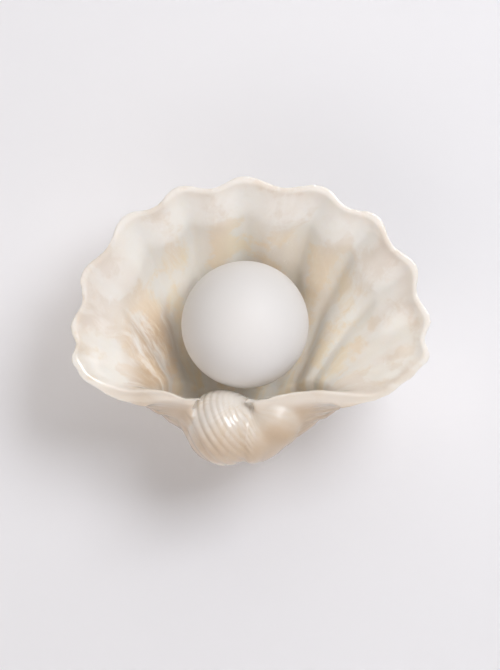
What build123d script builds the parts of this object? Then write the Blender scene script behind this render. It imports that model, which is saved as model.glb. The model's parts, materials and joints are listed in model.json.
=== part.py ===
from build123d import *
import math
import os

# Shell wall sconce, in millimetres. X runs to the right, Z up, and the wall is the plane Y = 0.
# The fitting stands off the wall towards -Y, so a distance "off" the wall is a place at Y = -off.
# The origin lies on the wall, on the axis that the globe, the nipple and the canopy share.

# ---- carved shell: envelope of the rim, seen from the front ----
rim_half_width = 169.0
rim_rise = 153.0
rim_centre_x = 5.5
rim_centre_z = -14.5
crown_squareness = 2.2
left_ear_squareness = 3.2
right_ear_squareness = 2.4

# ---- carved shell: growth about the hinge line, which runs along X under the bowl ----
hinge_x = -10.0
hinge_z = -75.0
rim_off = 135.0
growth_per_quarter = 0.525
rim_turn = 90.0
outer_turns = (256.0, 236.0, 216.0, 195.0, 172.0, 150.0, 128.0, 108.0, 90.0)
inner_turns = (198.0, 182.0, 165.0, 147.0, 128.0, 108.0, 90.0)
curl_turn = 205.0
curl_loss = 0.42
curl_power = 1.5

# ---- carved shell: walls, ribs and rim ----
rim_wall = 6.0
floor_wall = 17.0
tail_wall = 24.0
tail_power = 1.5
floor_turn = 150.0
outer_web = 2.5
inner_web = 13.0
rim_round = 2.6
rib_bearings = (6.0, 13.0, 23.2, 37.2, 52.8, 67.8, 87.6, 104.5, 120.3, 139.4, 154.9, 165.0, 172.5)
rib_depths = (1.5, 4.0, 8.0, 9.0, 9.0, 9.0, 9.0, 9.0, 9.0, 9.0, 7.0, 3.5, 1.5)
inner_rib_share = 0.85
inner_rib_fade = 105.0
inner_rib_least = 0.12
mouth_flare = 1.4
mouth_share = 0.9
outline_points = 71
web_dip = math.radians(50.0)

# ---- carved shell: ribbed knob, turned about a leaning axis ----
knob_x = -20.0
knob_z = -97.0
knob_off = 106.0
knob_lean = 32.0
knob_swing = 24.0
knob_length = 70.0
knob_radius = 36.5
knob_rib_count = 11
knob_rib_narrowing = 0.86
knob_rib_depth = 1.5
notch_diameter = 60.0
notch_z = -88.0
notch_off = 112.0

# ---- carved shell: smooth cheek between the knob and the right lip ----
cheek_top_x = 27.0
cheek_top_z = -91.0
cheek_top_off = 113.0
cheek_top_radius = 26.0
cheek_foot_x = 19.0
cheek_foot_z = -114.0
cheek_foot_off = 104.0
cheek_foot_radius = 17.0

# ---- carved shell: machined back pad, bore and inner seat ----
pad_off = 24.0
pad_diameter = 76.0
pad_height = 12.0
inner_seat_off = 34.0
inner_seat_diameter = 66.0
shell_bore = 11.0

# ---- opal globe, its neck and the seal behind it ----
globe_diameter = 120.0
globe_wall = 2.5
neck_length = 6.11
neck_outer_diameter = 48.0
neck_bore = 43.2
seal_diameter = 52.0
seal_height = 1.5
seal_clearance = 0.2
thread_clearance = 0.1

# ---- threaded nipple, nuts and washers ----
nipple_diameter = 10.0
nipple_bore = 7.0
nipple_back_off = 14.0
nipple_front_off = 46.0
nipple_clearance = 0.1
nipple_chamfer = 0.6
nut_flats = 14.0
nut_height = 4.0
lock_washer_diameter = 18.0
lock_washer_height = 1.0
felt_diameter = 70.0
cup_washer_diameter = 40.0
cup_washer_height = 1.5

# ---- holder cup ----
cup_wall = 1.5
cup_flange_diameter = 56.0
cup_lip_off = 49.0

# ---- lampholder and the strap that carries it ----
strap_width = 12.0
strap_thick = 1.0
strap_span = 30.0
strap_height = 17.0
strap_ear = 7.0
lampholder_diameter = 17.0
lampholder_height = 18.0
flange_length = 30.0
flange_thick = 3.0
flange_flat = 0.5
holder_screw_spacing = 23.0
holder_screw_diameter = 3.0
holder_screw_head = 5.5
holder_screw_head_height = 1.8
contact_spacing = 9.0
contact_diameter = 4.0
contact_length = 11.0
contact_clearance = 0.05
contact_recess = 1.0
contact_floor = 1.5
contact_slot_share = 0.6
contact_slot_width = 0.5
lampholder_chamfer = 1.0
wire_hole_clearance = 0.3
holder_screw_reach = 1.5

# ---- bulb ----
pin_diameter = 2.0
pin_clearance = 0.1
pin_length = 8.0
bulb_gap = 0.3
bulb_base_diameter = 15.0
bulb_base_height = 12.0
bulb_diameter = 16.0
bulb_length = 28.0
bulb_wall = 1.0
bulb_spigot_clearance = 0.05
bulb_spigot_length = 4.0
bulb_base_chamfer = 1.0
pin_tip_round = 0.7

# ---- canopy, wall plate and their fasteners ----
canopy_diameter = 100.0
canopy_wall = 1.5
canopy_corner = 5.0
foam_height = 1.5
foam_width = 3.5
plate_gap = 3.5
plate_thick = 2.0
plate_hole_spacing = 60.0
plate_hole_diameter = 5.5
plate_slot_length = 16.0
plate_slot_x = 12.0
plate_slot_share = 0.7
plate_entry_diameter = 22.0
plate_tab_width = 14.0
plate_tab_height = 15.0
plate_tab_root = 4.0
plate_tab_clearance = 0.4
side_screw_off = 10.0
side_screw_diameter = 4.0
side_screw_clearance = 0.15
side_screw_head = 7.0
side_screw_head_height = 2.4
side_screw_length = 9.0

# ---- terminal block and earth point, on the wall plate ----
block_width = 30.0
block_height = 16.0
block_depth = 11.0
block_margin = 8.0
pole_spacing = 10.0
clamp_diameter = 4.4
clamp_bore = 3.0
clamp_clearance = 0.05
clamp_screw_diameter = 2.5
clamp_screw_spacing = 8.0
fixing_screw_diameter = 2.5
fixing_screw_head = 4.4
fixing_screw_head_height = 1.6
small_screw_clearance = 0.1
earth_bearing_share = 0.5116
earth_screw_diameter = 4.0
earth_screw_head = 7.6
earth_screw_head_height = 2.4
earth_tag_diameter = 8.0
earth_tag_thick = 0.8
earth_tag_neck = 3.0
earth_tag_reach = 6.0
barrel_wall = 0.6
barrel_length = 6.0
barrel_grip = 4.0
barrel_clearance = 0.1
screw_back_gap = 0.2
clamp_screw_sink = 0.5
clamp_slot_width = 0.6
clamp_end_gap = 0.5

# ---- leads ----
lead_diameter = 2.2
lead_offset = 1.6
lead_turn_share = 0.447
lead_bend_share = 0.34
lead_kink = 2.0
lead_entry = 1.5
lead_stop = 1.0
lead_ease = 5.0
earth_lead_drop = 7.0
earth_lead_slope = 18.0

# ---- screw slots, and how far a cutter runs past the face it cuts ----
slot_width = 0.8
slot_depth = 0.8
over_cut = 1.0

# ---- places that follow from the sizes above ----
cut_reach = rim_off / 2.0
cut_width = 3.0 * rim_half_width
nipple_hole = nipple_diameter + 2.0 * nipple_clearance
side_screw_hole = side_screw_diameter + 2.0 * side_screw_clearance
holder_screw_hole = holder_screw_diameter + 2.0 * small_screw_clearance
clamp_screw_hole = clamp_screw_diameter + 2.0 * small_screw_clearance
fixing_screw_hole = fixing_screw_diameter + 2.0 * small_screw_clearance
earth_screw_hole = earth_screw_diameter + 2.0 * small_screw_clearance
wire_hole = lead_diameter + 2.0 * wire_hole_clearance
clamp_hole = clamp_diameter + 2.0 * clamp_clearance
felt_back_off = pad_off - 2.0
canopy_front_off = felt_back_off
canopy_face_back_off = canopy_front_off - canopy_wall
cup_back_off = inner_seat_off + cup_washer_height
cup_floor_off = cup_back_off + cup_wall
cup_diameter = neck_bore - 2.0 * thread_clearance
strap_floor_off = cup_floor_off + strap_thick
ear_back_off = cup_floor_off + strap_height - strap_thick
flange_back_off = cup_floor_off + strap_height
flange_front_off = flange_back_off + flange_thick
lampholder_front_off = flange_back_off + lampholder_height
contact_front_off = lampholder_front_off - contact_recess
contact_back_off = contact_front_off - contact_length
seal_back_off = cup_floor_off + seal_clearance
neck_back_off = seal_back_off + seal_height + seal_clearance
neck_root_reach = ((globe_diameter / 2.0) ** 2 - (neck_outer_diameter / 2.0) ** 2) ** 0.5
globe_centre_off = neck_back_off + neck_length + neck_root_reach
bulb_back_off = lampholder_front_off + bulb_gap
bulb_base_front_off = bulb_back_off + bulb_base_height
clamp_off = plate_thick + block_depth / 2.0
block_front_off = plate_thick + block_depth
block_screw_x = -pole_spacing / 2.0
foam_bore_radius = canopy_diameter / 2.0 - foam_width
plate_diameter = 2.0 * (foam_bore_radius - plate_gap)
block_z = block_margin + block_height / 2.0 - plate_diameter / 2.0
barrel_off = plate_thick + lead_diameter / 2.0 + barrel_wall + barrel_clearance
earth_x = -earth_bearing_share * plate_diameter / 2.0
earth_z = earth_bearing_share * plate_diameter / 2.0
slot_z = plate_slot_share * plate_diameter / 2.0
tab_outer_x = ((foam_bore_radius - plate_tab_clearance) ** 2 - (plate_tab_width / 2.0) ** 2) ** 0.5


def at(x, off, z):
    """A point by its distance off the wall."""
    return Vector(x, -off, z)


def disc(diameter, off_back, off_front, x=0.0, z=0.0):
    """A round bar along Y between two distances off the wall."""
    plane = Plane(origin=at(x, off_back, z), x_dir=(1, 0, 0), z_dir=(0, -1, 0))
    return extrude(plane * Circle(diameter / 2), off_front - off_back)


def ring(outer, inner, off_back, off_front, x=0.0, z=0.0):
    """A washer or tube along Y."""
    bore = disc(inner, off_back - over_cut, off_front + over_cut, x, z)
    return disc(outer, off_back, off_front, x, z) - bore


def block(size_x, size_z, off_back, off_front, x=0.0, z=0.0):
    """A square bar along Y."""
    depth = off_front - off_back
    return Pos(x, -(off_back + off_front) / 2, z) * Box(size_x, depth, size_z)


def cross_bar(diameter, x_low, x_high, off, z=0.0):
    """A round bar along X."""
    plane = Plane(origin=at(x_low, off, z), x_dir=(0, 1, 0), z_dir=(1, 0, 0))
    return extrude(plane * Circle(diameter / 2), x_high - x_low)


def upright_bar(diameter, z_low, z_high, x, off):
    """A round bar along Z."""
    return extrude(Plane(origin=at(x, off, z_low)) * Circle(diameter / 2), z_high - z_low)


def hexagon(flats, bore, off_back, off_front):
    """A plain hexagon nut on the shared axis."""
    plane = Plane(origin=at(0, off_back, 0), x_dir=(1, 0, 0), z_dir=(0, -1, 0))
    corner_radius = flats / math.sqrt(3.0)
    nut = extrude(plane * RegularPolygon(corner_radius, 6), off_front - off_back)
    return nut - disc(bore, off_back - over_cut, off_front + over_cut)


def ball(diameter, off):
    """A sphere on the shared axis."""
    return Pos(0, -off, 0) * Sphere(diameter / 2)


def screw(diameter, head, head_height, off_tip, off_seat, x=0.0, z=0.0):
    """A slotted screw along Y, its head standing on off_seat."""
    top = off_seat + head_height
    body = disc(diameter, off_tip, off_seat + head_height / 2.0, x, z)
    body += disc(head, off_seat, top, x, z)
    return body - block(head + over_cut, slot_width, top - slot_depth, top + over_cut, x, z)


def save(shape, node):
    export_step(shape, "parts/" + node + ".step")


# ---------------------------------------------------------------- carved shell

def growth(turn):
    """Size of the growth line at a turn about the hinge, where the rim is 1."""
    size = growth_per_quarter ** ((turn - rim_turn) / 90.0)
    if turn > curl_turn:
        size *= 1.0 - curl_loss * ((turn - curl_turn) / (outer_turns[0] - curl_turn)) ** curl_power
    return size


def rib_dip(bearing):
    """Depth of the rim below its envelope at a bearing from the hinge, in degrees."""
    pairs = zip(rib_bearings[:-1], rib_bearings[1:], rib_depths[:-1], rib_depths[1:])
    for low, high, low_depth, high_depth in pairs:
        if low <= bearing < high:
            share = (bearing - low) / (high - low)
            depth = low_depth + (high_depth - low_depth) * share
            return depth * (1.0 - math.cos(2.0 * math.pi * share)) / 2.0
    return 0.0


def squared(angle, power):
    """Reach of a unit superellipse at a polar angle."""
    return (abs(math.cos(angle)) ** power + abs(math.sin(angle)) ** power) ** (-1.0 / power)


def envelope(angle, half_width, rise, web_drop):
    """Point of a rim envelope about its own centre, and the outward normal there."""
    c, s = math.cos(angle), math.sin(angle)
    height, power = rise, crown_squareness
    if s < 0:
        power = left_ear_squareness if c < 0 else right_ear_squareness
        height = web_drop / (squared(web_dip, power) * math.sin(web_dip))
    reach = squared(angle, power)
    nx = math.copysign(abs(reach * c) ** (power - 1) / half_width, c)
    nz = math.copysign(abs(reach * s) ** (power - 1) / height, s)
    length = math.hypot(nx, nz)
    return half_width * reach * c, height * reach * s, nx / length, nz / length


def growth_line(turn, inset, rib_share, web, ahead=0.0):
    """A closed line of the shell in its plane about the hinge: a ribbed arch over a straight web."""
    scale = growth(turn)
    lean = math.radians(turn)
    centre_x, centre_rise = rim_centre_x - hinge_x, rim_centre_z - hinge_z
    sizes = (rim_half_width * scale - inset, rim_rise * scale - inset, centre_rise * scale - web)
    placed = []
    for i in range(outline_points):
        angle = math.pi + web_dip - (math.pi + 2.0 * web_dip) * i / (outline_points - 1)
        full_x, full_z, _, _ = envelope(angle, rim_half_width, rim_rise, centre_rise - outer_web)
        bearing = math.degrees(math.atan2(full_z + centre_rise, full_x + centre_x))
        x, z, nx, nz = envelope(angle, *sizes)
        shift = -rib_share * rib_dip(bearing) * scale
        across, rise = centre_x * scale + x + nx * shift, centre_rise * scale + z + nz * shift
        off = rim_off + ahead + rise * math.cos(lean)
        placed.append(at(hinge_x + across, off, hinge_z + rise * math.sin(lean)))
    return Wire([Edge.make_spline(placed), Edge.make_line(placed[-1], placed[0])])


def wall_inset(turn):
    """Thickness of the wall: thin at the rim, thick on the floor, heaviest towards the tail."""
    if turn <= floor_turn:
        share = (turn - rim_turn) / (floor_turn - rim_turn)
        return rim_wall + (floor_wall - rim_wall) * share
    share = (turn - floor_turn) / (inner_turns[0] - floor_turn)
    return floor_wall + (tail_wall - floor_wall) * share ** tail_power


def bowl():
    """The grown bowl: its outer form less its inside, with a rounded rim."""
    lines = [growth_line(turn, 0.0, 1.0, outer_web * growth(turn)) for turn in outer_turns]
    outer = Solid.make_loft(lines)
    lines = []
    for turn in inner_turns:
        share = inner_rib_share * max(inner_rib_least, 1.0 - (turn - rim_turn) / inner_rib_fade)
        lines.append(growth_line(turn, wall_inset(turn), share, inner_web * growth(turn)))
    mouth = rim_wall - mouth_share * rim_round
    lines.append(growth_line(rim_turn, mouth, inner_rib_share, inner_web, ahead=mouth_flare * rim_round))
    return outer, Solid.make_loft(lines)


def knob():
    """The curled knob: rounded ribs about a leaning axis, closer together towards its inner pole."""
    lean, swing = math.radians(knob_lean), math.radians(knob_swing)
    along = Vector(
        math.cos(lean) * math.cos(swing), -math.sin(swing), math.sin(lean) * math.cos(swing)
    )
    steps = [knob_rib_narrowing ** i for i in range(knob_rib_count)]
    pitch = knob_length / sum(steps)

    def radius(u):
        return knob_radius * max(0.0, 1.0 - (2.0 * u / knob_length) ** 2) ** 0.5

    stations, valleys = [-knob_length / 2.0], [Vector(-knob_length / 2.0, 0, 0)]
    for step in steps:
        u = stations[-1] + step * pitch
        stations.append(u)
        valleys.append(Vector(u, max(0.0, radius(u) - knob_rib_depth * step), 0))
    edges = []
    for low, high, start, end in zip(stations[:-1], stations[1:], valleys[:-1], valleys[1:]):
        middle = (low + high) / 2.0
        edges.append(Edge.make_three_point_arc(start, Vector(middle, radius(middle), 0), end))
    edges.append(Edge.make_line(edges[-1] @ 1, edges[0] @ 0))
    body = revolve(make_face(Wire(edges)), Axis.X, 360)
    plane = Plane(origin=at(knob_x, knob_off, knob_z), x_dir=along, z_dir=along.cross(Vector(0, 0, 1)))
    return plane.location * body


def cheek():
    """The smooth swelling that joins the knob to the right lip: a round top drawn down to a foot."""
    top = at(cheek_top_x, cheek_top_off, cheek_top_z)
    foot = at(cheek_foot_x, cheek_foot_off, cheek_foot_z)
    along = foot - top
    taper = (cheek_top_radius - cheek_foot_radius) / along.length
    flank = (1.0 - taper ** 2) ** 0.5
    start = Vector(cheek_top_radius * taper, cheek_top_radius * flank, 0)
    end = Vector(along.length + cheek_foot_radius * taper, cheek_foot_radius * flank, 0)
    back, front = Vector(-cheek_top_radius, 0, 0), Vector(along.length + cheek_foot_radius, 0, 0)
    outline = [
        Edge.make_tangent_arc(back, Vector(0, 1, 0), start),
        Edge.make_line(start, end),
        Edge.make_tangent_arc(end, end - start, front),
        Edge.make_line(front, back),
    ]
    body = revolve(make_face(Wire(outline)), Axis.X, 360)
    direction = along.normalized()
    plane = Plane(origin=top, x_dir=direction, z_dir=direction.cross(Vector(1, 0, 0)))
    return plane.location * body


def shell():
    """The whole carved shell: bowl, knob and cheek, with its machined pad, bore and seat."""
    outer, inner = bowl()
    body = outer - inner
    body -= disc(notch_diameter, notch_off, notch_off + cut_reach, knob_x, notch_z)
    body += knob()
    body += cheek()
    body += disc(pad_diameter, pad_off, pad_off + pad_height)
    body -= block(cut_width, cut_width, pad_off - cut_reach, pad_off)
    body -= disc(inner_seat_diameter, inner_seat_off, inner_seat_off + cut_reach)
    return body - disc(shell_bore, pad_off - over_cut, inner_seat_off + over_cut)


# ---------------------------------------------------------------- globe and bulb

def globe():
    """Blown opal globe with a plain neck whose bore turns on the holder cup."""
    neck_front = globe_centre_off - globe_diameter / 4.0
    outside = ball(globe_diameter, globe_centre_off)
    outside += disc(neck_outer_diameter, neck_back_off, neck_front)
    hollow = ball(globe_diameter - 2.0 * globe_wall, globe_centre_off)
    hollow += disc(neck_bore, neck_back_off - over_cut, neck_front)
    return outside - hollow


def globe_seal():
    """Silicone ring between the neck and the flange of the holder cup."""
    bore = cup_diameter + 4.0 * thread_clearance
    return ring(seal_diameter, bore, seal_back_off, seal_back_off + seal_height)


def bulb_envelope():
    """Frosted capsule of the bulb, domed at its front end."""
    dome_off = bulb_base_front_off + bulb_length - bulb_diameter / 2.0
    skin = disc(bulb_diameter, bulb_base_front_off, dome_off) + ball(bulb_diameter, dome_off)
    inner_diameter = bulb_diameter - 2.0 * bulb_wall
    hollow = disc(inner_diameter, bulb_base_front_off - over_cut, dome_off)
    hollow += ball(inner_diameter, dome_off)
    return skin - hollow


def bulb_base():
    """Moulded base of the bulb, with a spigot that holds the capsule."""
    spigot = bulb_diameter - 2.0 * (bulb_wall + bulb_spigot_clearance)
    body = disc(bulb_base_diameter, bulb_back_off, bulb_base_front_off)
    body += disc(spigot, bulb_base_front_off, bulb_base_front_off + bulb_spigot_length)
    return chamfer(body.edges().filter_by(GeomType.CIRCLE).sort_by(Axis.Y)[-1], bulb_base_chamfer)


def bulb_pins():
    """The two pins, rounded at their tips."""
    pins = []
    for side in (-1, 1):
        x = side * contact_spacing / 2.0
        tip = bulb_back_off - pin_length
        pin = disc(pin_diameter, tip, bulb_back_off, x)
        pins.append(fillet(pin.edges().sort_by(Axis.Y)[-1], pin_tip_round))
    return Compound(pins)


# ---------------------------------------------------------------- holder cup and lampholder

def holder_cup():
    """Spun metal cup with a flange behind the neck and a wall that the neck turns on."""
    cup = disc(cup_flange_diameter, cup_back_off, cup_floor_off)
    cup += ring(cup_diameter, cup_diameter - 2.0 * cup_wall, cup_back_off, cup_lip_off)
    return cup - disc(nipple_hole, cup_back_off - over_cut, cup_floor_off + over_cut)


def lampholder_strap():
    """Bent strap under the front nut, with two inturned ears for the lampholder."""
    half = strap_span / 2.0
    strap = block(strap_span, strap_width, cup_floor_off, strap_floor_off)
    for side in (-1, 1):
        leg_x = side * (half - strap_thick / 2.0)
        ear_x = side * (half - strap_ear / 2.0)
        strap += block(strap_thick, strap_width, cup_floor_off, flange_back_off, leg_x)
        strap += block(strap_ear, strap_width, ear_back_off, flange_back_off, ear_x)
        screw_x = side * holder_screw_spacing / 2.0
        strap -= disc(holder_screw_hole, ear_back_off - over_cut, flange_back_off + over_cut, screw_x)
    return strap - disc(nipple_hole, cup_floor_off - over_cut, strap_floor_off + over_cut)


def lampholder():
    """Ceramic lampholder: a round body on an oblong flange, with two stepped contact holes."""
    body = block(flange_length, strap_width, flange_back_off, flange_front_off)
    body = fillet(body.edges().filter_by(Axis.Y), strap_width / 2.0 - flange_flat)
    body += disc(lampholder_diameter, flange_back_off, lampholder_front_off)
    body = chamfer(body.edges().filter_by(GeomType.CIRCLE).sort_by(Axis.Y)[0], lampholder_chamfer)
    for side in (-1, 1):
        x = side * contact_spacing / 2.0
        hole = contact_diameter + 2.0 * contact_clearance
        body -= disc(hole, contact_back_off, lampholder_front_off + over_cut, x)
        body -= disc(wire_hole, flange_back_off - over_cut, contact_back_off + over_cut, x)
        screw_x = side * holder_screw_spacing / 2.0
        body -= disc(holder_screw_hole, flange_back_off - over_cut, flange_front_off + over_cut, screw_x)
    return body


def lampholder_contacts():
    """Two split sleeves that grip the bulb's pins."""
    sleeves = []
    for side in (-1, 1):
        x = side * contact_spacing / 2.0
        bore = pin_diameter + 2.0 * pin_clearance
        sleeve = disc(contact_diameter, contact_back_off, contact_front_off, x)
        sleeve -= disc(bore, contact_back_off + contact_floor, contact_front_off + over_cut, x)
        slot_back = contact_front_off - contact_slot_share * contact_length
        slot_size = (contact_slot_width, contact_diameter + over_cut)
        sleeves.append(sleeve - block(*slot_size, slot_back, contact_front_off + over_cut, x))
    return Compound(sleeves)


def lampholder_screws():
    """Two slotted screws through the flange into the ears."""
    tip = ear_back_off - holder_screw_reach
    sizes = (holder_screw_diameter, holder_screw_head, holder_screw_head_height)
    half = holder_screw_spacing / 2.0
    return Compound([screw(*sizes, tip, flange_front_off, side * half) for side in (-1, 1)])


# ---------------------------------------------------------------- nipple, nuts and washers

def nipple():
    """Hollow threaded rod that clamps canopy, shell and holder cup together."""
    tube = ring(nipple_diameter, nipple_bore, nipple_back_off, nipple_front_off)
    wall_middle = (nipple_diameter + nipple_bore) / 4.0
    ends = [e for e in tube.edges().filter_by(GeomType.CIRCLE) if e.radius > wall_middle]
    return chamfer(ends, nipple_chamfer)


def clamp_stack():
    """The nuts and washers on the nipple, from the canopy forwards, by node name."""
    back_washer = canopy_face_back_off - lock_washer_height
    front_washer = strap_floor_off + lock_washer_height
    sizes = (lock_washer_diameter, nipple_hole)
    return {
        "back_nut": hexagon(nut_flats, nipple_hole, back_washer - nut_height, back_washer),
        "back_lock_washer": ring(*sizes, back_washer, canopy_face_back_off),
        "felt_washer": ring(felt_diameter, nipple_hole, felt_back_off, pad_off),
        "cup_washer": ring(cup_washer_diameter, nipple_hole, inner_seat_off, cup_back_off),
        "front_lock_washer": ring(*sizes, strap_floor_off, front_washer),
        "front_nut": hexagon(nut_flats, nipple_hole, front_washer, front_washer + nut_height),
    }


# ---------------------------------------------------------------- canopy and wall plate

def canopy():
    """Spun steel dish behind the shell, open to the wall."""
    body = disc(canopy_diameter, foam_height, canopy_front_off)
    body = fillet(body.edges().filter_by(GeomType.CIRCLE).sort_by(Axis.Y)[0], canopy_corner)
    hollow = disc(canopy_diameter - 2.0 * canopy_wall, foam_height - over_cut, canopy_face_back_off)
    front_edge = hollow.edges().filter_by(GeomType.CIRCLE).sort_by(Axis.Y)[0]
    body -= fillet(front_edge, canopy_corner - canopy_wall)
    body -= disc(nipple_hole, canopy_face_back_off - over_cut, canopy_front_off + over_cut)
    return body - cross_bar(side_screw_hole, -canopy_diameter, canopy_diameter, side_screw_off)


def canopy_foam():
    """Foam ring that closes the canopy's edge against the wall."""
    return ring(canopy_diameter, canopy_diameter - 2.0 * foam_width, 0.0, foam_height)


def wall_plate():
    """Steel plate that is screwed to the wall, with a cable entry and two tabs for the canopy."""
    plate = disc(plate_diameter, 0.0, plate_thick)
    through = (-over_cut, plate_thick + over_cut)
    root = tab_outer_x - plate_diameter / 2.0 + plate_tab_root
    for side in (-1, 1):
        root_x = side * (tab_outer_x - root / 2.0)
        tab_x = side * (tab_outer_x - plate_thick / 2.0)
        plate += block(root, plate_tab_width, 0.0, plate_thick, root_x)
        plate += block(plate_thick, plate_tab_width, 0.0, plate_tab_height, tab_x)
        plate -= disc(plate_hole_diameter, *through, side * plate_hole_spacing / 2.0)
    plate -= block(plate_slot_length, plate_hole_diameter, *through, plate_slot_x, slot_z)
    plate -= disc(plate_entry_diameter, *through)
    plate -= cross_bar(side_screw_hole, -canopy_diameter, canopy_diameter, side_screw_off)
    plate -= disc(earth_screw_hole, *through, earth_x, earth_z)
    return plate - disc(fixing_screw_hole, *through, block_screw_x, block_z)


def canopy_screws():
    """Two screws through the canopy's side into the tabs."""
    screws = []
    for side in (-1, 1):
        face = canopy_diameter / 2.0
        top = face + side_screw_head_height
        shank = (side * (face - side_screw_length), side * (face + side_screw_head_height / 2.0))
        low, high = sorted(shank)
        body = cross_bar(side_screw_diameter, low, high, side_screw_off)
        low, high = sorted((side * face, side * top))
        body += cross_bar(side_screw_head, low, high, side_screw_off)
        slot = Box(2.0 * slot_depth, side_screw_head + over_cut, slot_width)
        screws.append(body - Pos(side * top, -side_screw_off, 0) * slot)
    return Compound(screws)


# ---------------------------------------------------------------- terminal block, earth point, leads

def pole_places():
    """The x of each pole: earth, neutral and live."""
    return (-pole_spacing, 0.0, pole_spacing)


def terminal_block():
    """Moulded block with three through bores, their screw holes and a fixing hole."""
    low, high = block_z - block_height / 2.0, block_z + block_height / 2.0
    body = block(block_width, block_height, plate_thick, block_front_off, 0.0, block_z)
    for x in pole_places():
        body -= upright_bar(clamp_hole, low - over_cut, high + over_cut, x, clamp_off)
        for side in (-1, 1):
            z = block_z + side * clamp_screw_spacing / 2.0
            body -= disc(clamp_screw_hole, clamp_off, block_front_off + over_cut, x, z)
    through = (plate_thick - over_cut, block_front_off + over_cut)
    return body - disc(fixing_screw_hole, *through, block_screw_x, block_z)


def terminal_clamps():
    """Three brass tubes that take the leads."""
    tubes = []
    half = block_height / 2.0 - clamp_end_gap
    low, high = block_z - half, block_z + half
    for x in pole_places():
        tube = upright_bar(clamp_diameter, low, high, x, clamp_off)
        tube -= upright_bar(clamp_bore, low - over_cut, high + over_cut, x, clamp_off)
        for side in (-1, 1):
            z = block_z + side * clamp_screw_spacing / 2.0
            tube -= disc(clamp_screw_hole, clamp_off, block_front_off, x, z)
        tubes.append(tube)
    return Compound(tubes)


def terminal_screws():
    """Six clamp screws, each down onto the lead or to the same depth where no lead is."""
    screws = []
    tip = clamp_off + lead_diameter / 2.0
    for x in pole_places():
        for side in (-1, 1):
            z = block_z + side * clamp_screw_spacing / 2.0
            top = block_front_off - clamp_screw_sink
            body = disc(clamp_screw_diameter, tip, top, x, z)
            slot_size = (clamp_screw_diameter + over_cut, clamp_slot_width)
            slot = block(*slot_size, top - slot_depth, top + over_cut, x, z)
            screws.append(body - slot)
    return Compound(screws)


def block_screw():
    """The screw that holds the terminal block to the wall plate."""
    sizes = (fixing_screw_diameter, fixing_screw_head, fixing_screw_head_height)
    return screw(*sizes, screw_back_gap, block_front_off, block_screw_x, block_z)


def earth_screw():
    """The earth screw on the wall plate."""
    seat = plate_thick + earth_tag_thick
    sizes = (earth_screw_diameter, earth_screw_head, earth_screw_head_height)
    return screw(*sizes, screw_back_gap, seat, earth_x, earth_z)


def earth_tag():
    """Ring tag under the earth screw, with the barrel that grips the earth lead."""
    front = plate_thick + earth_tag_thick
    tag = disc(earth_tag_diameter, plate_thick, front, earth_x, earth_z)
    tag += block(earth_tag_neck, earth_tag_reach, plate_thick, front, earth_x, earth_z - earth_tag_reach)
    top, low = earth_z - earth_tag_reach, earth_z - earth_tag_reach - barrel_length
    tag += upright_bar(lead_diameter + 2.0 * barrel_wall, low, top, earth_x, barrel_off)
    tag -= upright_bar(lead_diameter, low - over_cut, low + barrel_grip, earth_x, barrel_off)
    return tag - disc(earth_screw_hole, plate_thick - over_cut, front + over_cut, earth_x, earth_z)


def lead(points, radii):
    """A round insulated lead along straight runs joined by tangent arcs."""
    path = FilletPolyline(*[at(*point) for point in points], radius=radii)
    start = Plane(origin=path @ 0, z_dir=path % 0)
    return sweep(start * Circle(lead_diameter / 2), path=path)


def lamp_lead(side, pole_x):
    """A lead from a contact back through the nipple and down to its pole."""
    contact_x = side * contact_spacing / 2.0
    bore_x = side * lead_offset
    top = block_z + block_height / 2.0
    points = [
        (contact_x, contact_back_off, 0.0),
        (contact_x, flange_back_off, 0.0),
        (bore_x, nipple_front_off, 0.0),
        (bore_x, clamp_off, 0.0),
        (bore_x, clamp_off, lead_turn_share * top),
        (pole_x, clamp_off, top + lead_entry),
        (pole_x, clamp_off, block_z + lead_stop),
    ]
    return lead(points, [lead_ease, lead_ease, lead_bend_share * abs(top), lead_kink, lead_kink])


def earth_lead():
    """The earth lead from its tag to the terminal block."""
    top = block_z + block_height / 2.0
    start = earth_z - earth_tag_reach - barrel_length + barrel_grip
    points = [
        (earth_x, barrel_off, start),
        (earth_x, barrel_off, start - earth_lead_drop),
        (earth_x, clamp_off, start - earth_lead_slope),
        (-pole_spacing, clamp_off, top + 2.0 * lead_kink),
        (-pole_spacing, clamp_off, block_z + lead_stop),
    ]
    return lead(points, [lead_ease, 2.0 * lead_kink, 2.0 * lead_kink])


# ---------------------------------------------------------------- all the nodes

os.makedirs("parts", exist_ok=True)
nodes = {
    "shell": shell(),
    "globe": globe(),
    "globe_seal": globe_seal(),
    "bulb_envelope": bulb_envelope(),
    "bulb_base": bulb_base(),
    "bulb_pins": bulb_pins(),
    "holder_cup": holder_cup(),
    "lampholder_strap": lampholder_strap(),
    "lampholder": lampholder(),
    "lampholder_contacts": lampholder_contacts(),
    "lampholder_screws": lampholder_screws(),
    "nipple": nipple(),
    "canopy": canopy(),
    "canopy_foam": canopy_foam(),
    "canopy_screws": canopy_screws(),
    "wall_plate": wall_plate(),
    "terminal_block": terminal_block(),
    "terminal_clamps": terminal_clamps(),
    "terminal_screws": terminal_screws(),
    "block_screw": block_screw(),
    "earth_screw": earth_screw(),
    "earth_tag": earth_tag(),
    "lead_live": lamp_lead(1, pole_spacing),
    "lead_neutral": lamp_lead(-1, 0.0),
    "lead_earth": earth_lead(),
}
nodes.update(clamp_stack())
for node, shape in nodes.items():
    save(shape, node)
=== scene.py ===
"""Looks of the shell wall sconce: carved alabaster, an opal globe and the hidden fitting behind them."""

import json
import logging
import math
from collections.abc import Callable
from dataclasses import dataclass, field
from enum import Enum
from functools import cached_property

import bpy
from bpy.types import Material, Node, NodeSocket, NodeTree, Object
from mathutils import Matrix, Vector

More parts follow.
